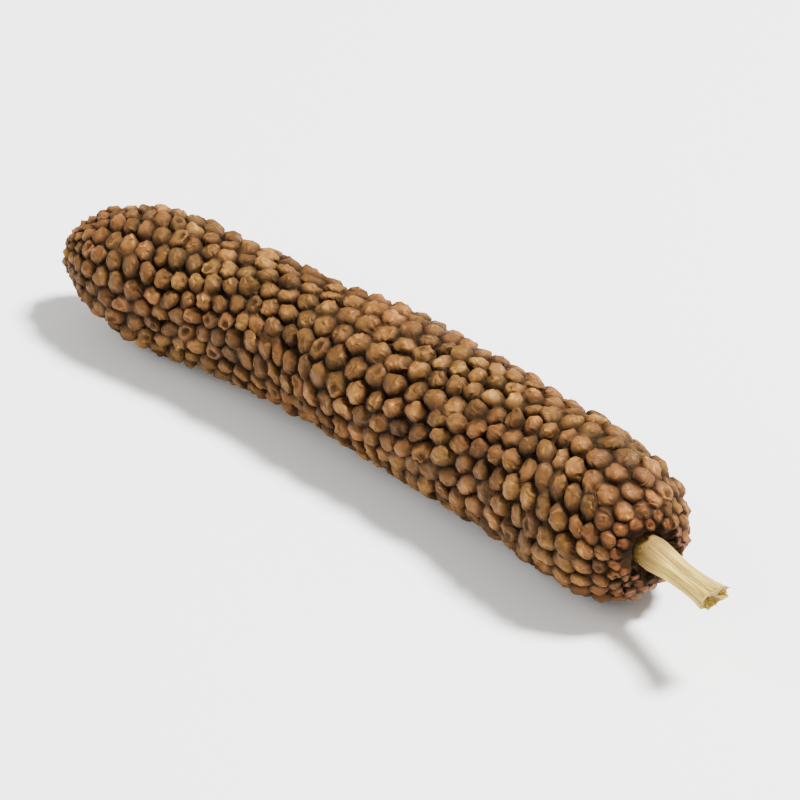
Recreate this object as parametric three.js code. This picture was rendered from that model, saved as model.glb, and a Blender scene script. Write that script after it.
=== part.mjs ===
// A dried long pepper: the fruiting spike of a pepper vine, as picked and dried, lying on its side.
// Some eight hundred tiny berries are grown together round a hidden axis, in spiral rows, and a stub of
// pale stalk stands out of the pit at the thick end.
//
// Millimetres, +Z up. The spike lies along X with its stalk at +X, bowed a little towards +Y.
// The origin is below the middle of the pepper, on the surface that it rests on.

import * as THREE from "three";

// Driving dimensions of the spike, without its stalk.
const SPIKE_LENGTH = 32.8;
const FLESH_RADIUS = 2.78; // down in the creases between the berries, at the thick end
const BERRY_RISE = 0.38; // how far a berry stands out, as a share of the spacing of the berries
const SHOULDER_LENGTH = 4; // the round end by the stalk
const NOSE_LENGTH = 5; // the round end away from the stalk
const TAPER = 0.15; // share of the radius lost from the shoulder to the nose
const BOW = 1.5; // how far the middle of the spike is off the line of its ends
const FLAT_DEPTH = 0.1; // how much the berries underneath are pressed flat
const CLEARANCE = 0.15; // how far they end off the surface, but for the three that bear on it
const BEARINGS = [[9.76, -0.6], [-12.98, -0.99], [-0.19, 1.18]]; // those three, round the weight
const BEARING_RADIUS = 0.55;
const BEARING_REACH = 0.85; // how far round each of them the underside swells down
const BEARING_DEPTH = 0.5; // and how far down
const LEVEL_NEAR_STALK = 5; // the underside is equally high at these distances from the stalk end
const LEVEL_NEAR_TIP = 27;
const PIT_RIM_RADIUS = 1.22; // where the berries stop, round the stalk
const PIT_DEPTH = 0.45; // where the pit ends and the stalk's socket begins, from the stalk end
const PIT_LEDGE = 0.12; // how much wider than the socket the pit is there
const TIP_RADIUS = 0.62; // where the berries stop, at the tip
const KNOB_RADIUS = 0.55; // of the small knob past them, as a share of TIP_RADIUS
const KNOB_SHOULDER = 0.1; // how far its shoulder and its point stand out past the tip
const KNOB_POINT = 0.25;

// Driving dimensions of the stalk.
const STALK_LENGTH = 4.1; // what shows outside the spike
const STALK_RADIUS = 0.56;
const STALK_LIFT = 0.035; // how strongly it bends up, and sideways, past the end of the spike
const STALK_SWING = -0.02;
const CUT_SLANT = 0.35; // the cut leans: how much longer the stalk is on its upper side
const CUT_DISH = 0.3; // how deep the face of the cut is hollowed
const SOCKET_RADIUS = 0.7; // the hole in the spike that the stalk grows out of
const SOCKET_DEPTH = 1.3;
const SOCKET_GAP = 0.05;

// The middle of the whole pepper, stalk included, as the spike's own lines are drawn below.
const MIDDLE_X = 2.108;
const MIDDLE_Y = 1.022;

// Spiral rows: each berry has neighbours 8, 13 and 21 places on along one spiral, six at equal distances.
const ROW_A = 8;
const ROW_B = 13;
const ROW_C = ROW_A + ROW_B;
const TURNS = { [ROW_A]: 3, [ROW_B]: 5, [ROW_C]: 8 };
const SPACING = (2 * Math.PI) / Math.sqrt(ROW_A ** 2 + ROW_A * ROW_B + ROW_B ** 2); // in radians
const SPIRAL_RISE = (Math.sqrt(3) / (4 * Math.PI)) * SPACING ** 2;
const SPIRAL_TURN =
  (2 * Math.PI * TURNS[ROW_A] + Math.sqrt(SPACING ** 2 - (ROW_A * SPIRAL_RISE) ** 2)) / ROW_A;
const JITTER = 0.12; // share of the spacing by which a berry is out of its place
const SWAY = 0.35; // share of the spacing by which the rows wander
const SMALL_AT_PIT = 0.5; // how much lower the berries stand that are next to the pit

// A repeatable number from 0 to 1 for each berry and purpose.
function chance(berry, purpose) {
  const wave = Math.sin(berry * 12.9898 + purpose * 78.233) * 43758.5453;
  return wave - Math.floor(wave);
}

// The spike's outline: the radius of its flesh at a distance from its stalk end.
function fleshRadius(along) {
  const share = along / SPIKE_LENGTH;
  const toShoulder = Math.max(0, 1 - along / SHOULDER_LENGTH);
  const toNose = Math.max(0, 1 - (SPIKE_LENGTH - along) / NOSE_LENGTH);
  const shoulder = Math.max(0, 1 - toShoulder ** 2.3) ** (1 / 2.1);
  const nose = Math.max(0, 1 - toNose ** 2.2) ** (1 / 1.9);
  const waves = 0.02 * Math.sin(along / 2.1 + 0.8) + 0.012 * Math.sin(along / 0.9 + 2);
  return FLESH_RADIUS * (1 - TAPER * share ** 1.3 + waves) * shoulder * nose;
}

// The outline as a table, close together at its round ends. climb grows by step over radius, so that a
// pattern that is regular in climb and in angle keeps its shape where the spike gets thinner. The radius
// meant there is halfway up the berries.
const HALF_UP = 0.5 + (BERRY_RISE * SPACING) / 4;
const OUTLINE_STEPS = 3000;
const outline = [];
for (let i = 1; i < OUTLINE_STEPS; i++) {
  const along = (SPIKE_LENGTH * (1 - Math.cos((Math.PI * i) / OUTLINE_STEPS))) / 2;
  const radius = fleshRadius(along);
  const before = outline[i - 2];
  const step = before ? Math.hypot(along - before.along, radius - before.radius) : 0;
  const climb = before ? before.climb + step / ((radius + before.radius) * HALF_UP) : 0;
  outline.push({ along, radius, climb });
}
const middle = Math.floor(outline.length / 2);
const pitRim = outline.findIndex((p) => p.radius >= PIT_RIM_RADIUS);
const tipRim = outline.findIndex((p, i) => i > middle && p.radius <= TIP_RADIUS);
const CLIMB_START = outline[pitRim].climb;
const BERRIES = Math.floor((outline[tipRim].climb - CLIMB_START) / SPIRAL_RISE);

// The point of the outline at a climb, with the direction that faces out there.
function outlineAt(climb) {
  const wanted = climb + CLIMB_START;
  let low = 0;
  let high = outline.length - 1;
  while (high - low > 1) {
    const between = (low + high) >> 1;
    if (outline[between].climb > wanted) high = between;
    else low = between;
  }
  const from = outline[low];
  const to = outline[high];
  const share = (wanted - from.climb) / (to.climb - from.climb);
  const step = Math.hypot(to.along - from.along, to.radius - from.radius);
  return {
    along: from.along + share * (to.along - from.along),
    radius: from.radius + share * (to.radius - from.radius),
    outAlong: -(to.radius - from.radius) / step,
    outRadius: (to.along - from.along) / step,
  };
}

// The line through the middle of the spike: bowed sideways, and sloped so that the tapered spike lies
// level underneath. Before the stalk end the same line carries the stalk.
function heightOver(along) {
  return CLEARANCE - FLAT_DEPTH + fleshRadius(along) * (1 + BERRY_RISE * SPACING);
}
const SLOPE =
  (heightOver(LEVEL_NEAR_TIP) - heightOver(LEVEL_NEAR_STALK)) / (LEVEL_NEAR_TIP - LEVEL_NEAR_STALK);
const HEIGHT_AT_STALK = heightOver(LEVEL_NEAR_STALK) - SLOPE * LEVEL_NEAR_STALK;

function centreLine(along) {
  const share = along / SPIKE_LENGTH;
  return new THREE.Vector3(
    SPIKE_LENGTH / 2 - along - MIDDLE_X,
    4 * BOW * share * (1 - share) - MIDDLE_Y,
    HEIGHT_AT_STALK + SLOPE * along,
  );
}

// A point at an angle and a radius round the centre line.
function around(along, angle, radius) {
  const centre = centreLine(along);
  const forward = centreLine(along + 0.01).sub(centreLine(along - 0.01)).normalize();
  const side = new THREE.Vector3(0, 0, 1).cross(forward).normalize();
  const up = forward.clone().cross(side);
  return centre
    .addScaledVector(up, radius * Math.cos(angle))
    .addScaledVector(side, radius * Math.sin(angle));
}

// A point of the spike's skin, raised by a height out of the flesh. The dried flesh isn't quite round.
function skin(climb, angle, height) {
  const p = outlineAt(climb);
  const uneven =
    1 + 0.018 * Math.sin(2 * angle + 0.3 * p.along) + 0.012 * Math.sin(3 * angle - 0.5 * p.along);
  const point = around(
    p.along + height * p.outAlong,
    angle,
    p.radius * uneven + height * p.outRadius,
  );
  point.z = pressedHeight(point);
  return point;
}

// The height of a point once the underside has been pressed flat. Round the three berries that bear on the
// surface it swells down to it, and elsewhere it stays clear of it.
function pressedHeight(point) {
  const near = Math.min(...BEARINGS.map(([x, y]) => Math.hypot(point.x - x, point.y - y)));
  const swell = Math.max(0, 1 - (near / BEARING_REACH) ** 2) * Math.max(0, 1 - point.z);
  return Math.max(near < BEARING_RADIUS ? 0 : CLEARANCE, point.z - BEARING_DEPTH * swell);
}

// Vertices and triangles of one closed mesh, gathered as they are made.
class Shell {
  constructor() {
    this.positions = [];
    this.triangles = [];
  }

  vertex(point) {
    this.positions.push(point.x, point.y, point.z);
    return this.positions.length / 3 - 1;
  }

  ring(points) {
    return points.map((point) => this.vertex(point));
  }

  // A strip of quads between two rings of the same count.
  strip(ringA, ringB) {
    ringA.forEach((a, i) => {
      const next = (i + 1) % ringA.length;
      this.triangles.push([a, ringB[i], ringA[next]], [ringA[next], ringB[i], ringB[next]]);
    });
  }

  // A strip of triangles between an outer and an inner ring of different counts, each evenly spaced from
  // its own first angle on.
  collar(outer, outerStart, inner, innerStart) {
    let i = 0;
    let j = 0;
    while (i < outer.length || j < inner.length) {
      const outerNext = outerStart + ((i + 0.5) * 2 * Math.PI) / outer.length;
      const innerNext = innerStart + ((j + 0.5) * 2 * Math.PI) / inner.length;
      const a = outer[i % outer.length];
      const b = inner[j % inner.length];
      if (j === inner.length || (i < outer.length && outerNext <= innerNext)) {
        i += 1;
        this.triangles.push([a, b, outer[i % outer.length]]);
      } else {
        j += 1;
        this.triangles.push([a, b, inner[j % inner.length]]);
      }
    }
  }

  // Closes a ring with triangles round one more vertex.
  fan(ring, point) {
    const centre = this.vertex(point);
    ring.forEach((a, i) => this.triangles.push([a, centre, ring[(i + 1) % ring.length]]));
  }

  geometry() {
    const made = new THREE.BufferGeometry();
    made.setAttribute("position", new THREE.Float32BufferAttribute(this.positions, 3));
    made.setIndex(this.triangles.flat());
    made.computeVertexNormals();
    return made;
  }
}

// The place of a berry on the unrolled spike. Slow waves crowd the rows together here and there, and each
// berry is a little out of its row.
function berryPlace(berry) {
  const climb = SPIRAL_RISE * berry;
  const angle = SPIRAL_TURN * berry;
  const climbShift = SWAY * Math.sin(2 * angle + 0.9 * climb) + JITTER * (2 * chance(berry, 1) - 1);
  const angleShift = SWAY * Math.sin(angle - 1.3 * climb + 1) + JITTER * (2 * chance(berry, 2) - 1);
  return { climb: climb + SPACING * climbShift, angle: angle + SPACING * angleShift };
}

// How far a berry stands out, as a share of the spacing.
function berryRise(berry) {
  const nearPit = Math.exp(-SPIRAL_RISE * berry / 0.5);
  return BERRY_RISE * (0.8 + 0.4 * chance(berry, 3)) * (1 - SMALL_AT_PIT * nearPit);
}

// The corner where three neighbouring berries meet: a berry, the one a row on from it (ROW_A or ROW_B
// places) and the one ROW_C places on.
function creaseCorner(berry, row) {
  const own = berryPlace(berry);
  const next = berryPlace(berry + row);
  const far = berryPlace(berry + ROW_C);
  const angles = own.angle + next.angle + far.angle - 2 * Math.PI * (TURNS[row] + TURNS[ROW_C]);
  return { climb: (own.climb + next.climb + far.climb) / 3, angle: angles / 3 };
}

const CROWN_SIDES = 5; // the flat top of a berry is a pentagon, turned differently on each
const CROWN_RADIUS = 0.32 * SPACING;
const CORNER_ANGLE = (52 * Math.PI) / 180; // the way from a berry to the first of its corners
const CROWN_STEP = (2 * Math.PI) / CROWN_SIDES;

// The six corners round a berry in order: the berry that each is named after, counted from this one,
// and its row.
const CORNERS = [
  [0, ROW_A],
  [0, ROW_B],
  [-ROW_A, ROW_A],
  [-ROW_C, ROW_B],
  [-ROW_C, ROW_A],
  [-ROW_B, ROW_B],
];

function makeSpike() {
  const shell = new Shell();
  const corners = new Map(); // each crease corner is one vertex, shared by three berries
  const places = [];
  const edges = new Map();

  function cornerVertex(berry, row) {
    const key = `${berry}/${row}`;
    if (!corners.has(key)) {
      const place = creaseCorner(berry, row);
      const vertex = shell.vertex(skin(place.climb, place.angle, 0));
      places[vertex] = place;
      corners.set(key, vertex);
    }
    return corners.get(key);
  }

  for (let berry = 0; berry < BERRIES; berry++) {
    const own = berryPlace(berry);
    const height = berryRise(berry) * SPACING * outlineAt(own.climb).radius;
    const rim = CORNERS.map(([from, row]) => cornerVertex(berry + from, row));
    const start = CORNER_ANGLE + (chance(berry, 4) - 0.5) * CROWN_STEP;
    const crown = Array.from({ length: CROWN_SIDES }, (_, i) => {
      const turn = start + i * CROWN_STEP;
      const climb = own.climb + CROWN_RADIUS * Math.sin(turn);
      return shell.vertex(skin(climb, own.angle + CROWN_RADIUS * Math.cos(turn), height));
    });
    shell.collar(rim, CORNER_ANGLE, crown, start);
    for (let i = 1; i < CROWN_SIDES - 1; i++) {
      shell.triangles.push([crown[i + 1], crown[i], crown[0]]);
    }
    rim.forEach((from, i) => {
      const to = rim[(i + 1) % rim.length];
      if (edges.get(to) === undefined || !edges.get(to).delete(from)) {
        if (!edges.has(from)) edges.set(from, new Set());
        edges.get(from).add(to);
      }
    });
  }

  // What is left in edges is the rim at each end, where the berries stop.
  function openRing(start) {
    const found = [];
    let at = start;
    do {
      found.push(at);
      [at] = edges.get(at);
    } while (at !== start);
    return found.reverse();
  }
  const open = [...edges.keys()].filter((vertex) => edges.get(vertex).size);
  open.sort((a, b) => places[a].climb - places[b].climb);
  const pit = openRing(open[0]);
  const tip = openRing(open[open.length - 1]);

  // The pit round the stalk, and the socket that the stalk grows out of.
  const ringAround = (ring, along, radius) =>
    shell.ring(ring.map((vertex) => around(along, places[vertex].angle, radius)));
  const mouth = ringAround(pit, PIT_DEPTH, SOCKET_RADIUS + PIT_LEDGE);
  const floor = ringAround(pit, SOCKET_DEPTH, SOCKET_RADIUS);
  shell.strip(pit, mouth);
  shell.strip(mouth, floor);
  shell.fan(floor, centreLine(SOCKET_DEPTH));

  // The last small knob at the tip.
  const knob = ringAround(tip, SPIKE_LENGTH + KNOB_SHOULDER, TIP_RADIUS * KNOB_RADIUS);
  shell.strip(tip, knob);
  shell.fan(knob, centreLine(SPIKE_LENGTH + KNOB_POINT));
  return shell.geometry();
}

// The stalk: a dry fibrous stub, ribbed along its length, with a waist halfway and a flared, dished cut.
const RIBS = 6;
const RIB_DEPTH = 0.15; // as a share of the radius
const WAIST = 0.92; // the radius halfway, as a share of STALK_RADIUS
const FLARE = 0.24; // what the radius gains from there to both ends
const CUT_RINGS = [[0.2, 0.8], [1, 0.45]]; // down the cut's dish: a share of its depth, and of STALK_RADIUS
const STALK_SIDES = 24;
const STALK_STEPS = 8;

// A point of the stalk, which bends away from the centre line of the spike outside the pit.
function stalkPoint(along, angle, radius) {
  const point = around(along, angle, radius);
  const out = Math.max(0, -along);
  point.z += STALK_LIFT * out ** 2;
  point.y += STALK_SWING * out ** 2;
  return point;
}

function stalkRing(along, radius, ribDepth, slant) {
  return Array.from({ length: STALK_SIDES }, (_, i) => {
    const angle = (2 * Math.PI * i) / STALK_SIDES;
    const ribbed = radius * (1 - ribDepth * (0.5 - 0.5 * Math.cos(RIBS * angle)));
    return stalkPoint(along - slant * Math.cos(angle), angle, ribbed);
  });
}

function makeStalk() {
  const shell = new Shell();
  const root = SOCKET_DEPTH - SOCKET_GAP;
  const rings = [stalkRing(root, SOCKET_RADIUS - SOCKET_GAP, 0, 0)];
  for (let i = 0; i <= STALK_STEPS; i++) {
    const share = i / STALK_STEPS;
    const radius = STALK_RADIUS * (WAIST + FLARE * (2 * share - 1) ** 2);
    const ribDepth = RIB_DEPTH * Math.min(1, 3 * share);
    rings.push(stalkRing(-STALK_LENGTH * share, radius, ribDepth, CUT_SLANT * share ** 2));
  }
  for (const [depth, width] of CUT_RINGS) {
    rings.push(stalkRing(depth * CUT_DISH - STALK_LENGTH, width * STALK_RADIUS, 0, CUT_SLANT));
  }
  const made = rings.map((points) => shell.ring(points));
  for (let i = 1; i < made.length; i++) shell.strip(made[i], made[i - 1]);
  shell.fan(made[0], stalkPoint(root, 0, 0));
  shell.fan(made[made.length - 1].reverse(), stalkPoint(CUT_DISH - STALK_LENGTH, 0, 0));
  return shell.geometry();
}

function finish(colour, roughness) {
  return new THREE.MeshStandardMaterial({ color: colour, roughness, metalness: 0, flatShading: true });
}

const pepper = new THREE.Group();

const spike = new THREE.Mesh(makeSpike(), finish(0x5a3f2b, 0.62));
spike.name = "fruit_spike";
pepper.add(spike);

const stalk = new THREE.Mesh(makeStalk(), finish(0xc9a659, 0.75));
stalk.name = "stalk";
pepper.add(stalk);

export default pepper;
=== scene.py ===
import math
from bisect import bisect_right

import bmesh
import bpy
from mathutils import Matrix, Vector, noise


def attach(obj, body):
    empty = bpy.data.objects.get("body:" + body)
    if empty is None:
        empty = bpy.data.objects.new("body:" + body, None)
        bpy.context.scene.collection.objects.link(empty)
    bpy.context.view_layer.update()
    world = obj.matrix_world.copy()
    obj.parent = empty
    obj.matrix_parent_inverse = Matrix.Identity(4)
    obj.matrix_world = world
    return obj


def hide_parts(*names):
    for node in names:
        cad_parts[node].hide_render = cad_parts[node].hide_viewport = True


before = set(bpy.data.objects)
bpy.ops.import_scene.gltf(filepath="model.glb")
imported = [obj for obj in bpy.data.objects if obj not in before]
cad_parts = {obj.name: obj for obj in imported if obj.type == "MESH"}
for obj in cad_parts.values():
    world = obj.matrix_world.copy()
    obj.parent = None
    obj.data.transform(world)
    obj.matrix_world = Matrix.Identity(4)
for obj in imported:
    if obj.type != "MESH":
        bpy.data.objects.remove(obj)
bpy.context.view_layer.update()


# The fruiting spike. Some eight hundred tiny berries, dried hard, are grown together round a hidden woody
# axis in spiral rows. Each is squeezed to a hexagon by its six neighbours, and bulges between the creases
# with a wrinkled, slightly shiny top. It is one piece, in the sizes below, in millimetres.

MM = 0.001
SPIKE_LENGTH = 32.8
FLESH_RADIUS = 2.78  # down in the creases between the berries, at the thick end
BERRY_RISE = 0.38  # how far a berry stands out, as a share of the spacing of the berries
RISE_SPREAD = 0.2  # share by which one stands out more or less than that
SHOULDER_LENGTH = 4  # the round end by the stalk
SHOULDER_CURVE = (2.3, 2.1)  # two powers, which are both 2 for an ellipse
NOSE_LENGTH = 5  # the round end away from the stalk
NOSE_CURVE = (2.2, 1.9)
TAPER = 0.15  # share of the radius lost from the shoulder to the nose
TAPER_CURVE = 1.3
WAVES = [(0.02, 2.1, 0.8), (0.012, 0.9, 2)]  # swellings: share of the radius, length and start
OUT_OF_ROUND = [(0.018, 2, 0.3), (0.012, 3, -0.5)]  # share of the radius, sides and twist
BOW = 1.5  # how far the middle of the spike is off the line of its ends
FLAT_DEPTH = 0.1  # how much the berries underneath are pressed flat
CLEARANCE = 0.15  # how far they end off the floor, but for the three that bear on it
BEARINGS = [(9.76, -0.6), (-12.98, -0.99), (-0.19, 1.18)]  # those three, round the weight
BEARING_RADIUS = 0.55
BEARING_REACH = 0.85  # how far round each of them the underside swells down
BEARING_DEPTH = 0.5  # and how far down
UNDERSIDE = 1  # what is lower than this counts as the underside
LEVEL_NEAR_STALK = 5  # the underside is equally high at these distances from the stalk end
LEVEL_NEAR_TIP = 27
PIT_RIM_RADIUS = 1.22  # where the berries stop, round the stalk
TIP_RADIUS = 0.62  # where the berries stop, at the tip
MIDDLE_X = 2.108  # what brings the middle of the whole pepper over the origin
MIDDLE_Y = 1.022
SHORT_STEP = 0.01  # along the spike, to find which way it runs

# A berry touches the ones 8, 13 and 21 places on along the spiral, which are 3, 5 and 8 turns away.
ROW_A = 8
ROW_B = 13
ROW_C = ROW_A + ROW_B
TURNS = {ROW_A: 3, ROW_B: 5, ROW_C: 8}
SPACING = 2 * math.pi / math.sqrt(ROW_A**2 + ROW_A * ROW_B + ROW_B**2)  # in radians
SPIRAL_RISE = math.sqrt(3) / (4 * math.pi) * SPACING**2
ROW_STEP = math.sqrt(SPACING**2 - (ROW_A * SPIRAL_RISE) ** 2)
SPIRAL_TURN = (2 * math.pi * TURNS[ROW_A] + ROW_STEP) / ROW_A
JITTER = 0.12  # share of the spacing by which a berry is out of its place
SWAY = 0.35  # share of the spacing by which the rows wander
SMALL_AT_PIT = 0.5  # how much lower the berries stand that are next to the pit
SMALL_CLIMB = 0.5  # and over what climb that fades


def chance(berry, purpose):
    """A repeatable number from 0 to 1 for each berry and purpose."""
    wave = math.sin(berry * 12.9898 + purpose * 78.233) * 43758.5453
    return wave - math.floor(wave)


def either_way(berry, purpose):
    """A repeatable number from -1 to 1 for each berry and purpose."""
    return 2 * chance(berry, purpose) - 1


def flesh_radius(along):
    """The spike's outline down in the creases, at a distance from its stalk end."""
    to_shoulder = max(0, 1 - along / SHOULDER_LENGTH)
    to_nose = max(0, 1 - (SPIKE_LENGTH - along) / NOSE_LENGTH)
    shoulder = max(0, 1 - to_shoulder ** SHOULDER_CURVE[0]) ** (1 / SHOULDER_CURVE[1])
    nose = max(0, 1 - to_nose ** NOSE_CURVE[0]) ** (1 / NOSE_CURVE[1])
    waves = sum(share * math.sin(along / length + start) for share, length, start in WAVES)
    lost = TAPER * (along / SPIKE_LENGTH) ** TAPER_CURVE
    return FLESH_RADIUS * (1 - lost + waves) * shoulder * nose


# The outline as a table. The climb grows by step over radius, taken halfway up the berries, so that a
# pattern that is regular in climb and in angle keeps its shape where the spike gets thinner.
HALF_UP = 0.5 + BERRY_RISE * SPACING / 4
OUTLINE_STEPS = 3000
outline = []
for i in range(1, OUTLINE_STEPS):
    along = SPIKE_LENGTH * (1 - math.cos(math.pi * i / OUTLINE_STEPS)) / 2
    radius = flesh_radius(along)
    climb = 0
    if outline:
        last_along, last_radius, last_climb = outline[-1]
        step = math.hypot(along - last_along, radius - last_radius)
        climb = last_climb + step / ((radius + last_radius) * HALF_UP)
    outline.append((along, radius, climb))
pit_rim = next(i for i, point in enumerate(outline) if point[1] >= PIT_RIM_RADIUS)
tip_rim = next(
    i for i, point in enumerate(outline) if i > OUTLINE_STEPS / 2 and point[1] <= TIP_RADIUS
)
CLIMB_START = outline[pit_rim][2]
BERRIES = math.floor((outline[tip_rim][2] - CLIMB_START) / SPIRAL_RISE)
climbs = [point[2] for point in outline]


def outline_at(climb):
    """The point of the outline at a climb, with the direction that faces out there."""
    wanted = climb + CLIMB_START
    i = min(max(bisect_right(climbs, wanted), 1), len(climbs) - 1)
    from_along, from_radius, from_climb = outline[i - 1]
    to_along, to_radius, to_climb = outline[i]
    share = (wanted - from_climb) / (to_climb - from_climb)
    long_step = to_along - from_along
    radius_step = to_radius - from_radius
    step = math.hypot(long_step, radius_step)
    along = from_along + share * long_step
    radius = from_radius + share * radius_step
    return along, radius, -radius_step / step, long_step / step


def height_over(along):
    """How high the centre line runs where the spike lies level."""
    return CLEARANCE - FLAT_DEPTH + flesh_radius(along) * (1 + BERRY_RISE * SPACING)


SLOPE = (height_over(LEVEL_NEAR_TIP) - height_over(LEVEL_NEAR_STALK)) / (
    LEVEL_NEAR_TIP - LEVEL_NEAR_STALK
)
HEIGHT_AT_STALK = height_over(LEVEL_NEAR_STALK) - SLOPE * LEVEL_NEAR_STALK


def centre_line(along):
    """The line through the middle of the spike, bowed sideways, which also runs on into the stalk."""
    share = along / SPIKE_LENGTH
    return Vector(
        (
            SPIKE_LENGTH / 2 - along - MIDDLE_X,
            4 * BOW * share * (1 - share) - MIDDLE_Y,
            HEIGHT_AT_STALK + SLOPE * along,
        )
    )


def around(along, angle, radius):
    """A point at an angle and a radius round the centre line."""
    forward = (centre_line(along + SHORT_STEP) - centre_line(along - SHORT_STEP)).normalized()
    side = Vector((0, 0, 1)).cross(forward).normalized()
    up = forward.cross(side)
    return centre_line(along) + radius * (math.cos(angle) * up + math.sin(angle) * side)


def lowest_at(point):
    """How low the underside may reach at a point, and how strongly it swells down to a bearing place."""
    near = min(math.hypot(point.x - x, point.y - y) for x, y in BEARINGS)
    return (0 if near < BEARING_RADIUS else CLEARANCE), max(0, 1 - (near / BEARING_REACH) ** 2)


def skin(climb, angle, height):
    """A point of the spike's skin in metres, raised by a height out of the flesh."""
    along, radius, out_along, out_radius = outline_at(climb)
    uneven = 1
    for share, sides, twist in OUT_OF_ROUND:
        uneven += share * math.sin(sides * angle + twist * along)
    point = around(along + height * out_along, angle, radius * uneven + height * out_radius)
    lowest, swell = lowest_at(point)
    point.z = max(lowest, point.z - BEARING_DEPTH * swell * max(0, UNDERSIDE - point.z))
    return point * MM


def berry_place(berry):
    """The place of a berry on the unrolled spike, a little out of its wandering row."""
    climb = SPIRAL_RISE * berry
    angle = SPIRAL_TURN * berry
    climb_shift = SWAY * math.sin(2 * angle + 0.9 * climb) + JITTER * either_way(berry, 1)
    angle_shift = SWAY * math.sin(angle - 1.3 * climb + 1) + JITTER * either_way(berry, 2)
    return climb + SPACING * climb_shift, angle + SPACING * angle_shift


def berry_rise(berry):
    """How far a berry stands out, as a share of the spacing."""
    near_pit = math.exp(-SPIRAL_RISE * berry / SMALL_CLIMB)
    own = 1 - RISE_SPREAD + 2 * RISE_SPREAD * chance(berry, 3)
    return BERRY_RISE * own * (1 - SMALL_AT_PIT * near_pit)


def crease_corner(berry, row):
    """The corner where a berry meets the one a row on from it and the one ROW_C places on."""
    places = [berry_place(berry), berry_place(berry + row), berry_place(berry + ROW_C)]
    climb = sum(place[0] for place in places) / 3
    angle = sum(place[1] for place in places) - 2 * math.pi * (TURNS[row] + TURNS[ROW_C])
    return climb, angle / 3


# One berry as a flat disc of radius 1, with a ring where its wall bends over into its top. A scarred berry
# has one more ring, round the dent that its withered tip has left.
BERRY_SIDES = 12
WALL_WIDTH = 0.15
TOP_WIDTH = 0.34
SCAR_WIDTH = 0.34


def make_disc(name, widths):
    """A disc of rings with the given widths, creased at its rim."""
    disc = bmesh.new()
    rim = bmesh.ops.create_circle(disc, cap_ends=True, segments=BERRY_SIDES, radius=1)["verts"]
    middle = rim[0].link_faces[0]
    for width in widths:
        bmesh.ops.inset_region(disc, faces=[middle], thickness=width, use_boundary=True)
    crease = disc.edges.layers.float.new("crease_edge")
    for edge in disc.edges:
        edge[crease] = 1 if edge.is_boundary else 0
    mesh = bpy.data.meshes.new(name)
    disc.to_mesh(mesh)
    disc.free()
    return mesh


plain_disc = make_disc("plain_berry", [WALL_WIDTH, TOP_WIDTH])
scarred_disc = make_disc("scarred_berry", [WALL_WIDTH, TOP_WIDTH, SCAR_WIDTH])

# Heights and shifts are shares of the spacing. The crown says how near the top of a berry a point is, from
# 0 down in a crease to 1, and the material takes its tone from that, as painted shade in the creases and a
# painted highlight on the tops.
SCARRED_SHARE = 0.18  # of the berries
SCAR_DENT = 0.18  # the deepest
SCAR_PAINTED_SHADE = 0.75  # the darkest painted shade in the dent
SCAR_REACH = 0.45  # how far from the middle of the disc, whose radius is 1
CORNER_SINK = 0.16  # how much deeper a crease is where three berries meet
TOP_SHIFT = 0.3  # how far the top may be off the middle
MEETING = 0.1  # how high up neighbours are grown together, and how much that varies
MEETING_SPREAD = 0.45
CREASE_CROWN = 2  # how fast the crown grows with the height of a crease, and its most there; low creases get the darkest painted shade
MOST_CREASE_CROWN = 0.6
LEAN = 0.55  # how much higher a berry may stand on one side
BLUNTNESS = 2.3  # the power of its dome, which is 2 for a round one
BLUNTNESS_SPREAD = 0.9
DENTS_PER_MM = 1.3
AT_RIM = 0.99  # a point of the disc that is further out than this is on its rim
AT_CORNER = 0.01  # and this near a sixth of a turn it is at a corner
REDDISH_CLIMB = 0.35  # the climb over which the reddish skin by the stalk fades
SAME_PLACE = 0.0005  # rim points of neighbours that are this near are one
SIXTH = math.pi / 3
CORNERS = [(0, ROW_A), (0, ROW_B), (-ROW_A, ROW_A), (-ROW_C, ROW_B), (-ROW_C, ROW_A), (-ROW_B, ROW_B)]


def nearest_turn(angle, reference):
    """The same angle, by whole turns, within half a turn of a reference."""
    return reference + (angle - reference + math.pi) % (2 * math.pi) - math.pi


def fit_berry(vert, berry, scarred):
    """Moves a point of a disc to its place on the berry, and gives its crown."""
    own_climb, own_angle = berry_place(berry)
    reach = min(1, vert.co.length)
    turn = math.atan2(vert.co.y, vert.co.x) % (2 * math.pi)
    first = math.floor(turn / SIXTH + AT_CORNER)
    share = turn / SIXTH - first
    rim_climb = 0
    rim_angle = 0
    for corner, weight in ((first, 1 - share), (first + 1, share)):
        back, row = CORNERS[corner % 6]
        climb, angle = crease_corner(berry + back, row)
        rim_climb += weight * climb
        rim_angle += weight * nearest_turn(angle, own_angle)
    shift = TOP_SHIFT * SPACING * (1 - reach)
    climb = own_climb + reach * (rim_climb - own_climb) + shift * either_way(berry, 10)
    angle = own_angle + reach * (rim_angle - own_angle) + shift * either_way(berry, 11)
    if reach > AT_RIM:
        meeting = MEETING + MEETING_SPREAD * noise.noise(DENTS_PER_MM * skin(climb, angle, 0) / MM)
        height = meeting - CORNER_SINK if abs(share) < AT_CORNER else max(0, meeting)
        vert.co = skin(climb, angle, height * SPACING * outline_at(climb)[1])
        return min(MOST_CREASE_CROWN, max(0, CREASE_CROWN * height))
    bluntness = BLUNTNESS + BLUNTNESS_SPREAD * either_way(berry, 9)
    dome = math.sqrt(1 - reach**bluntness)
    lean = 1 + LEAN * chance(berry, 6) * reach * math.cos(turn - 2 * math.pi * chance(berry, 7))
    height = berry_rise(berry) * dome * lean
    if scarred and reach < SCAR_REACH:
        height -= SCAR_DENT * chance(berry, 12)
        # The dent is darker the deeper it is: painted shade.
        dome *= 1 - SCAR_PAINTED_SHADE * chance(berry, 12)
    vert.co = skin(climb, angle, height * SPACING * outline_at(own_climb)[1])
    return dome


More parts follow.
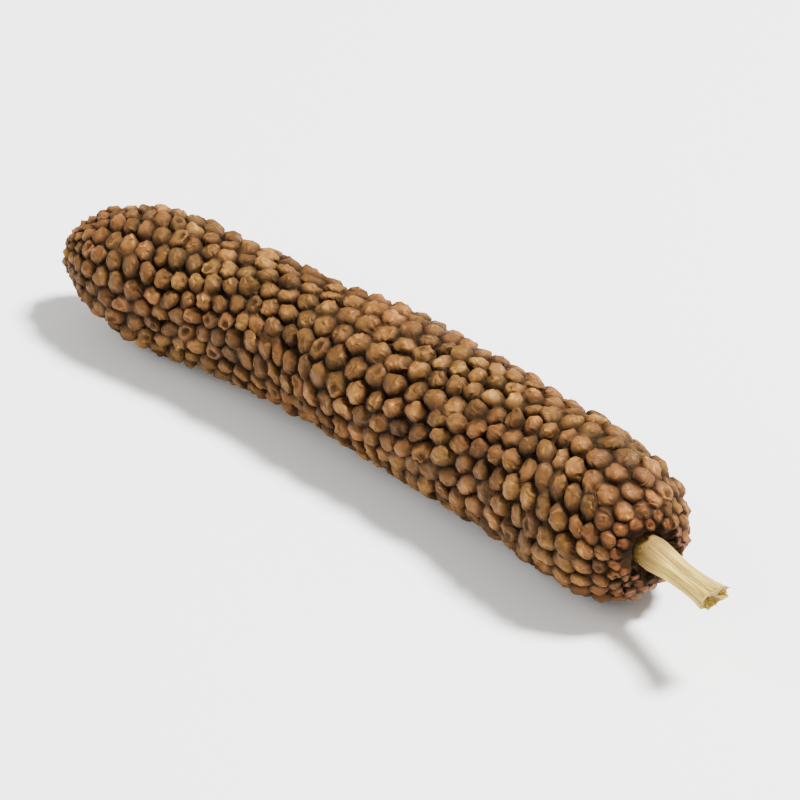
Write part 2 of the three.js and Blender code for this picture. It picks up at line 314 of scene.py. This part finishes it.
cage = bmesh.new()
owners = []
for berry in range(BERRIES):
    scarred = chance(berry, 5) < SCARRED_SHARE
    disc = scarred_disc if scarred else plain_disc
    cage.from_mesh(disc)
    owners += [(berry, scarred)] * len(disc.vertices)
crown = cage.verts.layers.float.new("crown")
tint = cage.verts.layers.float.new("tint")
stalk_end = cage.verts.layers.float.new("stalk_end")
for vert, (berry, scarred) in zip(cage.verts, owners):
    vert[crown] = fit_berry(vert, berry, scarred)
    vert[tint] = chance(berry, 8)
    vert[stalk_end] = math.exp(-SPIRAL_RISE * berry / REDDISH_CLIMB)
bmesh.ops.remove_doubles(cage, verts=cage.verts, dist=SAME_PLACE * MM)

# Where the berries stop, their skin goes on: round the stalk into the pit, tight on the stalk's root, and
# over the small knob at the tip. Each ring has its place along the spike, its radius and how strongly it
# is folded.
PIT_RINGS = [(0.5, 0.9, 0.2), (0.66, 0.63, 0), (1.2, 0.6, 0)]
PIT_CROWN = 0.3
KNOB_RINGS = [
    (SPIKE_LENGTH - 0.06, 0.46, 0.5),
    (SPIKE_LENGTH + 0.12, 0.3, 0.9),
    (SPIKE_LENGTH + 0.24, 0.12, 0.9),
]
KNOB_CROWN = 0.6
FOLDS_PER_MM = 4.5


def close_end(rim, rings, end_crown):
    """Carries the skin on from an open rim over some rings, and closes the last one."""
    for along, radius, folded in rings:
        made = bmesh.ops.extrude_edge_only(cage, edges=rim)["geom"]
        rim = [edge for edge in made if isinstance(edge, bmesh.types.BMEdge)]
        forward = (centre_line(along + SHORT_STEP) - centre_line(along)).normalized()
        for vert in [vert for vert in made if isinstance(vert, bmesh.types.BMVert)]:
            out = vert.co / MM - centre_line(along)
            out -= out.dot(forward) * forward
            out = radius * out.normalized()
            out *= 1 + folded * noise.noise(FOLDS_PER_MM * (centre_line(along) + out))
            vert.co = MM * (centre_line(along) + out)
            vert[crown] = end_crown
    bmesh.ops.edgeloop_fill(cage, edges=rim)


def put_in_order(shape):
    """Sorts the edges and faces by their points, because an extrusion makes them in no fixed order."""
    shape.verts.index_update()
    points = len(shape.verts)

    def rank(part):
        lowest = sorted(vert.index for vert in part.verts)[:3]
        return sum(index * points**power for power, index in enumerate(lowest))

    shape.edges.sort(key=rank)
    shape.faces.sort(key=rank)


open_edges = [edge for edge in cage.edges if edge.is_boundary]
close_end([edge for edge in open_edges if edge.verts[0].co.x > 0], PIT_RINGS, PIT_CROWN)
close_end([edge for edge in open_edges if edge.verts[0].co.x < 0], KNOB_RINGS, KNOB_CROWN)
bmesh.ops.recalc_face_normals(cage, faces=cage.faces)
put_in_order(cage)

spike_mesh = bpy.data.meshes.new("berry_spike")
cage.to_mesh(spike_mesh)
cage.free()
berry_spike = bpy.data.objects.new("berry_spike", spike_mesh)
bpy.context.scene.collection.objects.link(berry_spike)
rounding = berry_spike.modifiers.new("rounding", "SUBSURF")
rounding.levels = 1
rounding.render_levels = 1

# The rounded surface is dented and wrinkled, because the berries shrank in drying, and each keeps a small
# point in the middle of its top.
DENT = 0.16
WRINKLE = 0.27
WRINKLES_PER_MM = 2.6
FOLD_LEVEL = 0.25  # the noise below which a wrinkle stands up, and above which it sinks
TOP_LIFT = 0.06


def shrunk(place):
    """How far drying has moved a point of the skin in or out."""
    fold = FOLD_LEVEL - abs(noise.noise(WRINKLES_PER_MM * place))
    return DENT * noise.noise(DENTS_PER_MM * place) + WRINKLE * fold


spike = bmesh.new()
spike.from_object(berry_spike, bpy.context.evaluated_depsgraph_get())
spike.normal_update()
crown = spike.verts.layers.float["crown"]
moves = []
for vert in spike.verts:
    is_top = len(vert.link_edges) == BERRY_SIDES
    moves.append(shrunk(vert.co / MM) * vert[crown] + (TOP_LIFT if is_top else 0))
for vert, move in zip(spike.verts, moves):
    vert.co += MM * move * vert.normal
    vert.co.z = max(MM * lowest_at(vert.co / MM)[0], vert.co.z)
for face in spike.faces:
    face.smooth = True
berry_spike.modifiers.clear()
spike.to_mesh(spike_mesh)
spike.free()


def add_node(tree, kind, inputs=(), **settings):
    """A shader node with its settings, and its inputs set to a value or linked to another's output."""
    node = tree.nodes.new(kind)
    for name, value in settings.items():
        setattr(node, name, value)
    for name, value in dict(inputs).items():
        if isinstance(value, bpy.types.NodeSocket):
            tree.links.new(value, node.inputs[name])
        else:
            node.inputs[name].default_value = value
    return node


def colour_ramp(tree, factor, stops):
    """A blend through colours at the given places."""
    ramp = add_node(tree, "ShaderNodeValToRGB", {"Fac": factor})
    ends = ramp.color_ramp.elements
    while len(ends) < len(stops):
        ends.new(0.5)
    for end, (place, colour) in zip(ends, stops):
        end.position = place
        end.color = (*colour, 1)
    return ramp.outputs["Color"]


def maths(tree, operation, first, second):
    """One sum with two values."""
    return add_node(tree, "ShaderNodeMath", {0: first, 1: second}, operation=operation).outputs[0]


def between(tree, value, low, high):
    """A value from 0 to 1 spread over a range."""
    spread = add_node(tree, "ShaderNodeMapRange", {"Value": value, "To Min": low, "To Max": high})
    return spread.outputs["Result"]


def mixed(tree, share, colour, other, way="MIX"):
    """A colour mixed with a share of another, or tinted by it where the way is to multiply."""
    colours = {0: share, 6: colour, 7: (*other, 1)}
    return add_node(tree, "ShaderNodeMix", colours, data_type="RGBA", blend_type=way).outputs[2]


# Mottling: uneven tone in spots of a given size, as on any dried skin or fibre.
mottling = bpy.data.node_groups.new("mottling", "ShaderNodeTree")
mottling.interface.new_socket("Place", in_out="INPUT", socket_type="NodeSocketVector")
mottling.interface.new_socket("Spots per metre", in_out="INPUT", socket_type="NodeSocketFloat")
mottling.interface.new_socket("Low", in_out="INPUT", socket_type="NodeSocketFloat")
mottling.interface.new_socket("High", in_out="INPUT", socket_type="NodeSocketFloat")
mottling.interface.new_socket("Tone", in_out="OUTPUT", socket_type="NodeSocketFloat")
group_in = mottling.nodes.new("NodeGroupInput").outputs
group_out = mottling.nodes.new("NodeGroupOutput")
spots = add_node(
    mottling,
    "ShaderNodeTexNoise",
    {"Vector": group_in["Place"], "Scale": group_in["Spots per metre"], "Detail": 4, "Roughness": 0.6},
)
tone = add_node(
    mottling,
    "ShaderNodeMapRange",
    {
        "Value": spots.outputs["Fac"],
        "From Min": 0.3,
        "From Max": 0.7,
        "To Min": group_in["Low"],
        "To Max": group_in["High"],
    },
)
mottling.links.new(tone.outputs["Result"], group_out.inputs["Tone"])


def mottle(tree, place, spots_per_metre, low, high):
    """The mottling group with its values, giving a tone from low to high."""
    inputs = {"Place": place, "Spots per metre": spots_per_metre, "Low": low, "High": high}
    group = add_node(tree, "ShaderNodeGroup", node_tree=mottling)
    for name, value in inputs.items():
        if isinstance(value, bpy.types.NodeSocket):
            tree.links.new(value, group.inputs[name])
        else:
            group.inputs[name].default_value = value
    return group.outputs["Tone"]


# Dried berry skin, brown and redder round the stalk. Its tone follows the crown: near-black painted shade
# down in the creases, and golden on the tops, which is partly their own paler skin and partly a painted
# highlight. The wrinkles get a painted highlight on their ridges and painted shade in their hollows, and
# the tops are a little shiny.
PAINTED_SHADE_AND_HIGHLIGHT_BROWNS = [
    (0.0, (0.009, 0.0038, 0.0012)),
    (0.34, (0.042, 0.017, 0.0043)),
    (0.68, (0.118, 0.05, 0.0105)),
    (0.87, (0.28, 0.138, 0.027)),
    (1.0, (0.78, 0.475, 0.125)),
]
REDDENING = (0.78, 0.46, 0.42)
GOLDEN_SHEEN = (1, 0.7, 0.4, 1)
WRINKLES_PER_METRE = 2600
BLOTCHES_PER_METRE = 1500
RED_PATCHES_PER_METRE = 420
SPECKS_PER_METRE = 5000

berry_skin = bpy.data.materials.new("berry_skin")
berry_skin.use_nodes = True
tree = berry_skin.node_tree
shader = tree.nodes["Principled BSDF"]
place = add_node(tree, "ShaderNodeTexCoord").outputs["Object"]
crown_for_painted_light = add_node(tree, "ShaderNodeAttribute", attribute_name="crown").outputs["Fac"]
berry_tint = add_node(tree, "ShaderNodeAttribute", attribute_name="tint").outputs["Fac"]
near_stalk = add_node(tree, "ShaderNodeAttribute", attribute_name="stalk_end").outputs["Fac"]
wrinkles = add_node(
    tree,
    "ShaderNodeTexNoise",
    {"Vector": place, "Scale": WRINKLES_PER_METRE, "Detail": 5, "Roughness": 0.6, "Distortion": 0.5},
    noise_type="RIDGED_MULTIFRACTAL",
)
# Painted light: the crown and the wrinkles' height set the tone, darker in creases and wrinkle hollows and
# paler on tops and ridges, over blotches of the skin's own uneven tone.
ridges = between(tree, wrinkles.outputs["Fac"], -0.2, 0.14)
blotches_and_painted_light = maths(tree, "ADD", crown_for_painted_light, mottle(tree, place, BLOTCHES_PER_METRE, -0.16, 0.06))
level = maths(tree, "ADD", blotches_and_painted_light, ridges)
brown = colour_ramp(tree, level, PAINTED_SHADE_AND_HIGHLIGHT_BROWNS)
lightness = between(tree, berry_tint, 0.6, 1.4)
redness = between(tree, mottle(tree, place, RED_PATCHES_PER_METRE, 0, 1), 0.484, 0.508)
toned = add_node(
    tree, "ShaderNodeHueSaturation", {"Hue": redness, "Value": lightness, "Color": brown}
).outputs["Color"]
reddened = mixed(tree, near_stalk, toned, REDDENING, "MULTIPLY")
tree.links.new(reddened, shader.inputs["Base Color"])
shader.inputs["Specular IOR Level"].default_value = 0.3
shader.inputs["Specular Tint"].default_value = GOLDEN_SHEEN
gloss = between(tree, level, 0.9, 0.36)
specks = mottle(tree, place, SPECKS_PER_METRE, -0.08, 0.12)
tree.links.new(maths(tree, "ADD", gloss, specks), shader.inputs["Roughness"])
bump = add_node(
    tree, "ShaderNodeBump", {"Height": wrinkles.outputs["Fac"], "Strength": 1, "Distance": 0.0002}
)
tree.links.new(bump.outputs["Normal"], shader.inputs["Normal"])
spike_mesh.materials.append(berry_skin)

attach(berry_spike, "root")
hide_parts("fruit_spike")


# The stalk: a stub of the stem that the spike hung from, cut short. It is dry straw-coloured fibre, ribbed
# where it shrank between its strands, narrowest halfway, and flared and dished at its frayed cut.

STALK_LENGTH = 4.1  # what shows outside the spike
STALK_RADIUS = 0.56
STALK_LIFT = 0.035  # how strongly it bends up, and sideways, past the end of the spike
STALK_SWING = -0.02
CUT_SLANT = 0.35  # the cut leans: how much longer the stalk is on its upper side
CUT_DISH = 0.3  # how deep the face of the cut is hollowed
DISH_CURVE = 1.5
SOCKET_RADIUS = 0.7  # the hole in the spike that the stalk grows out of
SOCKET_DEPTH = 1.3
SOCKET_GAP = 0.05
RIBS = 6
RIB_DEPTH = 0.15  # as a share of the radius
RIBS_GROW = 3  # how fast the ribs grow out of the smooth root
WAIST = 0.92  # the radius halfway, as a share, and what the ends are thicker by
FLARE = 0.24

STALK_SIDES = 96
STALK_RINGS = 48
STRAND_DEPTH = 0.07  # as a share of the radius
STRANDS = 5
STRANDS_GROW = 4
STRAND_CHANGE = 0.3  # how fast a strand changes along the stalk
TWIST = 0.12  # radians a millimetre
FRAY = 0.22  # how far the fibres at the cut stand out or are torn back
FRAY_LEVEL = 0.6  # most of them are torn back
FRAY_CURVE = 6
TUFTS = 2.2
FACE_RINGS = [0.93, 0.82, 0.68, 0.52, 0.36, 0.18]
FACE_BUMPS = 0.05
FACE_BUMPS_ACROSS = 7
ROOT_SHARE = 0.3  # how far up the stalk its dark root reaches
STRAND_VALLEYS = 2  # how much the strands count beside the ribs in where the painted shade falls
GRAIN_ALONG = 0.04  # the grain goes on this much in a millimetre along, against 1 out from the middle


def stalk_point(along, angle, radius):
    """A point of the stalk in metres, which bends away from the spike's line outside the pit."""
    out = max(0, -along)
    bend = Vector((0, STALK_SWING * out**2, STALK_LIFT * out**2))
    return (around(along, angle, radius) + bend) * MM


def strand_noise(angle, along, strands):
    """Uneven from strand to strand round the stalk, and nearly the same all along each of them."""
    turn = angle + TWIST * along
    place = Vector((strands * math.cos(turn), strands * math.sin(turn), STRAND_CHANGE * along))
    return noise.noise(place)


def between_ribs(angle):
    """How near an angle is to the valley between two ribs, from 0 to 1."""
    return 0.5 - 0.5 * math.cos(RIBS * angle)


def grain_at(face, angle, along):
    """Where a point is in the grain, which is drawn out along the stalk."""
    return face * math.cos(angle), face * math.sin(angle), GRAIN_ALONG * along


def stalk_side(share, angle):
    """The ribbed, stringy side of the stalk, from its root at 0 to its cut at 1."""
    frayed = FRAY * (strand_noise(angle, 0, TUFTS) - FRAY_LEVEL) * share**FRAY_CURVE
    along = -STALK_LENGTH * share - CUT_SLANT * share**2 * math.cos(angle) - frayed
    ribs = RIB_DEPTH * min(1, RIBS_GROW * share) * between_ribs(angle)
    strands = STRAND_DEPTH * min(1, STRANDS_GROW * share) * strand_noise(angle, along, STRANDS)
    radius = STALK_RADIUS * (WAIST + FLARE * (2 * share - 1) ** 2) * (1 - ribs + strands)
    return along, radius


stub = bmesh.new()
turn = stub.verts.layers.float.new("turn")
pith = stub.verts.layers.float.new("pith")
root = stub.verts.layers.float.new("root")
valley = stub.verts.layers.float.new("valley")
grain = stub.verts.layers.float_vector.new("grain")
ring = bmesh.ops.create_circle(stub, segments=STALK_SIDES, radius=1)["verts"]
for i, vert in enumerate(ring):
    vert[turn] = 2 * math.pi * i / STALK_SIDES
rim = stub.edges[:]


def lay_ring(verts, share, face):
    """Moves a ring to its share of the stalk, or on from there inwards over the cut's face."""
    for vert in verts:
        angle = vert[turn]
        along, radius = stalk_side(share, angle)
        if face < 1:
            bumps = FACE_BUMPS * noise.noise(Vector((angle, FACE_BUMPS_ACROSS * face, 0)))
            along += CUT_DISH * (1 - face**DISH_CURVE) + bumps
            radius *= face
        vert.co = stalk_point(along, angle, radius)
        vert[pith] = 1 - face
        vert[root] = max(0, 1 - share / ROOT_SHARE)
        # How deep in a valley a point lies, which the material darkens as painted shade.
        vert[valley] = between_ribs(angle) - STRAND_VALLEYS * strand_noise(angle, along, STRANDS)
        vert[grain] = grain_at(face, angle, along)


for vert in ring:
    vert.co = stalk_point(SOCKET_DEPTH - SOCKET_GAP, vert[turn], SOCKET_RADIUS - SOCKET_GAP)
    vert[root] = 1
bmesh.ops.edgeloop_fill(stub, edges=rim)
side_and_face = [(i / STALK_RINGS, 1) for i in range(STALK_RINGS + 1)] + [(1, face) for face in FACE_RINGS]
for share, face in side_and_face:
    made = bmesh.ops.extrude_edge_only(stub, edges=rim)["geom"]
    rim = [edge for edge in made if isinstance(edge, bmesh.types.BMEdge)]
    lay_ring([vert for vert in made if isinstance(vert, bmesh.types.BMVert)], share, face)
bmesh.ops.edgeloop_fill(stub, edges=rim)
bmesh.ops.recalc_face_normals(stub, faces=stub.faces)

# Slivers of fibre that have come loose: how far along they start, at what angle, and their length.
SLIVERS = [(0.86, 0.5, 0.5), (0.9, 1.7, 0.36), (0.72, 2.6, 0.8), (0.93, 3.6, 0.3), (0.8, 5.1, 0.62)]
SLIVER_SIDES = 6
SLIVER_RADIUS = 0.035
SLIVER_TAPER = 5  # how many times thinner its end is
SLIVER_LEAN = 0.1

for share, angle, length in SLIVERS:
    along, radius = stalk_side(share, angle)
    start = stalk_point(along, angle, radius)
    end = stalk_point(along - length, angle, radius + SLIVER_LEAN)
    upright = (end - start).to_track_quat("Z", "Y").to_matrix().to_4x4()
    sliver = bmesh.ops.create_cone(
        stub,
        cap_ends=True,
        segments=SLIVER_SIDES,
        radius1=SLIVER_RADIUS * MM,
        radius2=SLIVER_RADIUS * MM / SLIVER_TAPER,
        depth=(end - start).length,
        matrix=Matrix.Translation((start + end) / 2) @ upright,
    )
    for vert in sliver["verts"]:
        vert[grain] = grain_at(1, angle, along)

put_in_order(stub)
for face in stub.faces:
    face.smooth = True
stub_mesh = bpy.data.meshes.new("stalk_stub")
stub.to_mesh(stub_mesh)
stub.free()
stalk_stub = bpy.data.objects.new("stalk_stub", stub_mesh)
bpy.context.scene.collection.objects.link(stalk_stub)

# Dry fibre: pale strands over ones of a darker straw, with a painted brown shade between the ribs and
# strands, and brown at the root and in the cut.
STRAWS = [
    (0.28, (0.26, 0.135, 0.018)),
    (0.44, (0.51, 0.335, 0.052)),
    (0.58, (0.7, 0.51, 0.092)),
    (0.76, (0.83, 0.69, 0.19)),
]
PAINTED_VALLEY_SHADE = (0.17, 0.085, 0.03)
PITH_BROWN = (0.13, 0.075, 0.02)
ROOT_BROWN = (0.16, 0.075, 0.018)
PATCHES_PER_METRE = 900
GLOSS_SPOTS_PER_METRE = 3000

straw_fibre = bpy.data.materials.new("straw_fibre")
straw_fibre.use_nodes = True
tree = straw_fibre.node_tree
shader = tree.nodes["Principled BSDF"]
place = add_node(tree, "ShaderNodeTexCoord").outputs["Object"]
along_fibres = add_node(tree, "ShaderNodeAttribute", attribute_name="grain").outputs["Vector"]
in_pith = add_node(tree, "ShaderNodeAttribute", attribute_name="pith").outputs["Fac"]
at_root = add_node(tree, "ShaderNodeAttribute", attribute_name="root").outputs["Fac"]
valley_shade_mask = add_node(tree, "ShaderNodeAttribute", attribute_name="valley").outputs["Fac"]
fibres = add_node(
    tree, "ShaderNodeTexNoise", {"Vector": along_fibres, "Scale": 11, "Detail": 6, "Roughness": 0.62}
)
straw = colour_ramp(tree, fibres.outputs["Fac"], STRAWS)
# Painted shade, brown, down in the valleys between the ribs and strands.
shaded = mixed(tree, maths(tree, "MULTIPLY", valley_shade_mask, 0.4), straw, PAINTED_VALLEY_SHADE)
pithy = mixed(tree, between(tree, in_pith, -0.1, 1), shaded, PITH_BROWN)
rooted = mixed(tree, maths(tree, "MULTIPLY", at_root, 0.8), pithy, ROOT_BROWN)
patches = mottle(tree, place, PATCHES_PER_METRE, 0.85, 1.12)
patchy = add_node(tree, "ShaderNodeHueSaturation", {"Value": patches, "Color": rooted})
tree.links.new(patchy.outputs["Color"], shader.inputs["Base Color"])
shader.inputs["Specular IOR Level"].default_value = 0.35
tree.links.new(mottle(tree, place, GLOSS_SPOTS_PER_METRE, 0.55, 0.8), shader.inputs["Roughness"])
bump = add_node(
    tree, "ShaderNodeBump", {"Height": fibres.outputs["Fac"], "Strength": 0.7, "Distance": 0.0001}
)
tree.links.new(bump.outputs["Normal"], shader.inputs["Normal"])
stub_mesh.materials.append(straw_fibre)

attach(stalk_stub, "root")
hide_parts("stalk")


# The floor is a plain pale sheet that the pepper lies on.
floor_mesh = bpy.data.meshes.new("floor")
floor_shape = bmesh.new()
bmesh.ops.create_grid(floor_shape, x_segments=1, y_segments=1, size=1)
floor_shape.to_mesh(floor_mesh)
floor_shape.free()
floor = bpy.data.objects.new("floor", floor_mesh)
bpy.context.scene.collection.objects.link(floor)
pale_sheet = bpy.data.materials.new("pale_sheet")
pale_sheet.use_nodes = True
pale_sheet.node_tree.nodes["Principled BSDF"].inputs["Base Color"].default_value = (0.9, 0.9, 0.89, 1)
pale_sheet.node_tree.nodes["Principled BSDF"].inputs["Roughness"].default_value = 0.9
floor_mesh.materials.append(pale_sheet)

# The camera looks down on the pepper from beyond its stalk, so that the stalk is nearest, to the right.
AZIMUTH = math.radians(46)
ELEVATION = math.radians(32)
DISTANCE = 0.22
LOOK_AT = Vector((-0.0005, 0, 0.003))
camera = bpy.data.objects.new("camera", bpy.data.cameras.new("camera"))
bpy.context.scene.collection.objects.link(camera)
bpy.context.scene.camera = camera
camera.data.lens = 255
camera.data.clip_start = 0.01
back = Vector(
    (
        math.sin(AZIMUTH) * math.cos(ELEVATION),
        -math.cos(AZIMUTH) * math.cos(ELEVATION),
        math.sin(ELEVATION),
    )
)
camera.location = LOOK_AT + DISTANCE * back
camera.rotation_euler = back.to_track_quat("Z", "Y").to_euler()

# Soft studio light: a key high up on the right, a broad weak fill from the left, and a pale room.
LIGHTS = [
    ("key", (0.1, 0.11, 0.3), 0.07, 5),
    ("fill", (-0.2, -0.25, 0.2), 0.35, 1.2),
]
for name, place, width, power in LIGHTS:
    light = bpy.data.objects.new(name, bpy.data.lights.new(name, "AREA"))
    light.data.energy = power
    light.data.size = width
    light.location = place
    light.rotation_euler = light.location.to_track_quat("Z", "Y").to_euler()
    bpy.context.scene.collection.objects.link(light)

world = bpy.data.worlds.new("world")
bpy.context.scene.world = world
world.use_nodes = True
world.node_tree.nodes["Background"].inputs["Color"].default_value = (1, 1, 1, 1)
world.node_tree.nodes["Background"].inputs["Strength"].default_value = 0.62
